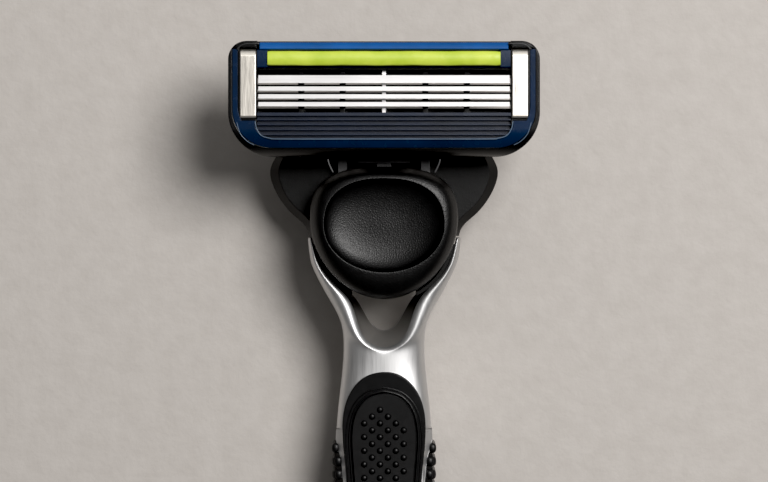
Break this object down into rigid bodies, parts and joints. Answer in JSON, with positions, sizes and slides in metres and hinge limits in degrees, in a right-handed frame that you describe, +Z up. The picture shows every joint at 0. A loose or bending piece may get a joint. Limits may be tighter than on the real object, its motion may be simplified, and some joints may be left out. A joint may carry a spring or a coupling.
{
  "type": "cartridge razor",
  "caption": "Wet-shaving razor with a clip-on blade cartridge that tilts, a swivelling pod with a dished eject button, and a forked metal handle with a dotted rubber grip.",
  "frame": {"origin": "middle of the razor's length and width, on the surface its back rests on", "axes": "+Y along the razor towards the cartridge, +Z up out of the shaving face, +X across"},
  "size_m": [0.042, 0.143, 0.0223],
  "materials": {
    "black_housing": "glossy moulded",
    "blue_trim": "satin moulded",
    "elastomer": "soft satin",
    "lime_strip": "waxy",
    "clip_metal": "satin",
    "blade_steel": "polished",
    "support_steel": "satin",
    "black_yoke": "satin moulded",
    "black_pod": "satin moulded",
    "black_button": "fine leather grain",
    "grey_plastic": "satin",
    "spring_steel": "drawn wire",
    "satin_silver": "satin plated",
    "grip_rubber": "matt",
    "core_plastic": "moulded",
    "black_bezel": "satin moulded"
  },
  "bodies": {
    "handle": {"handle_frame": "satin_silver", "handle_core": "core_plastic", "grip_bezel": "black_bezel", "grip_pad": "grip_rubber", "back_grip": "grip_rubber", "tail_cap": "black_bezel", "swivel_cradle": "black_pod", "swivel_pin": "spring_steel", "centering_spring": "spring_steel"},
    "pod": {"pod_body": "black_pod", "pod_cover": "black_pod", "button_spring": "spring_steel", "plunger_spring": "spring_steel"},
    "button": {"eject_button": "black_button", "ejector_prongs": "grey_plastic"},
    "plunger": {"plunger": "grey_plastic"},
    "yoke": {"yoke": "black_yoke"},
    "cartridge": {"cartridge_housing": "black_housing", "guard_frame": "blue_trim", "guard_fins": "elastomer", "strip_tray": "blue_trim", "lubricating_strip": "lime_strip", "clip_left": "clip_metal", "clip_right": "clip_metal", "blade_spine": "blade_steel"},
    "blade_1": {"blade_1": "blade_steel", "blade_support_1": "support_steel"},
    "blade_2": {"blade_2": "blade_steel", "blade_support_2": "support_steel"},
    "blade_3": {"blade_3": "blade_steel", "blade_support_3": "support_steel"},
    "blade_4": {"blade_4": "blade_steel", "blade_support_4": "support_steel"}
  },
  "joints": [
    {"name": "head_swivel", "type": "hinge", "parent": "handle", "child": "pod", "pos_m": [0, 0.0457, 0.01], "axis": [0, 0, 1], "range_deg": [-12, 12], "stiffness_Nm_per_rad": 0.05},
    {"name": "eject_press", "type": "slide", "parent": "pod", "child": "button", "axis": [0, 1, 0], "range_m": [0, 0.002], "stiffness_N_per_m": 800, "springref_m": -0.001, "deforming": ["button_spring"]},
    {"name": "plunger_travel", "type": "slide", "parent": "pod", "child": "plunger", "axis": [0, -1, 0], "range_m": [0, 0.0042], "deforming": ["plunger_spring"]},
    {"name": "cartridge_release", "type": "slide", "parent": "pod", "child": "yoke", "axis": [0, 1, 0], "range_m": [0, 0.012]},
    {"name": "cartridge_tilt", "type": "hinge", "parent": "yoke", "child": "cartridge", "pos_m": [0, 0.0595, 0.0184], "axis": [-1, 0, 0], "range_deg": [0, 40], "stiffness_Nm_per_rad": 0.01, "springref_deg": -17.19},
    {"name": "blade_1_float", "type": "slide", "parent": "cartridge", "child": "blade_1", "axis": [0, 0, -1], "range_m": [0, 0.0003], "stiffness_N_per_m": 300, "springref_m": -0.0002},
    {"name": "blade_2_float", "type": "slide", "parent": "cartridge", "child": "blade_2", "axis": [0, 0, -1], "range_m": [0, 0.0003], "stiffness_N_per_m": 300, "springref_m": -0.0002},
    {"name": "blade_3_float", "type": "slide", "parent": "cartridge", "child": "blade_3", "axis": [0, 0, -1], "range_m": [0, 0.0003], "stiffness_N_per_m": 300, "springref_m": -0.0002},
    {"name": "blade_4_float", "type": "slide", "parent": "cartridge", "child": "blade_4", "axis": [0, 0, -1], "range_m": [0, 0.0003], "stiffness_N_per_m": 300, "springref_m": -0.0002}
  ],
  "couplings": [
    {"joint": "plunger_travel", "follows": "cartridge_tilt", "m_per_rad": 0.0059}
  ]
}
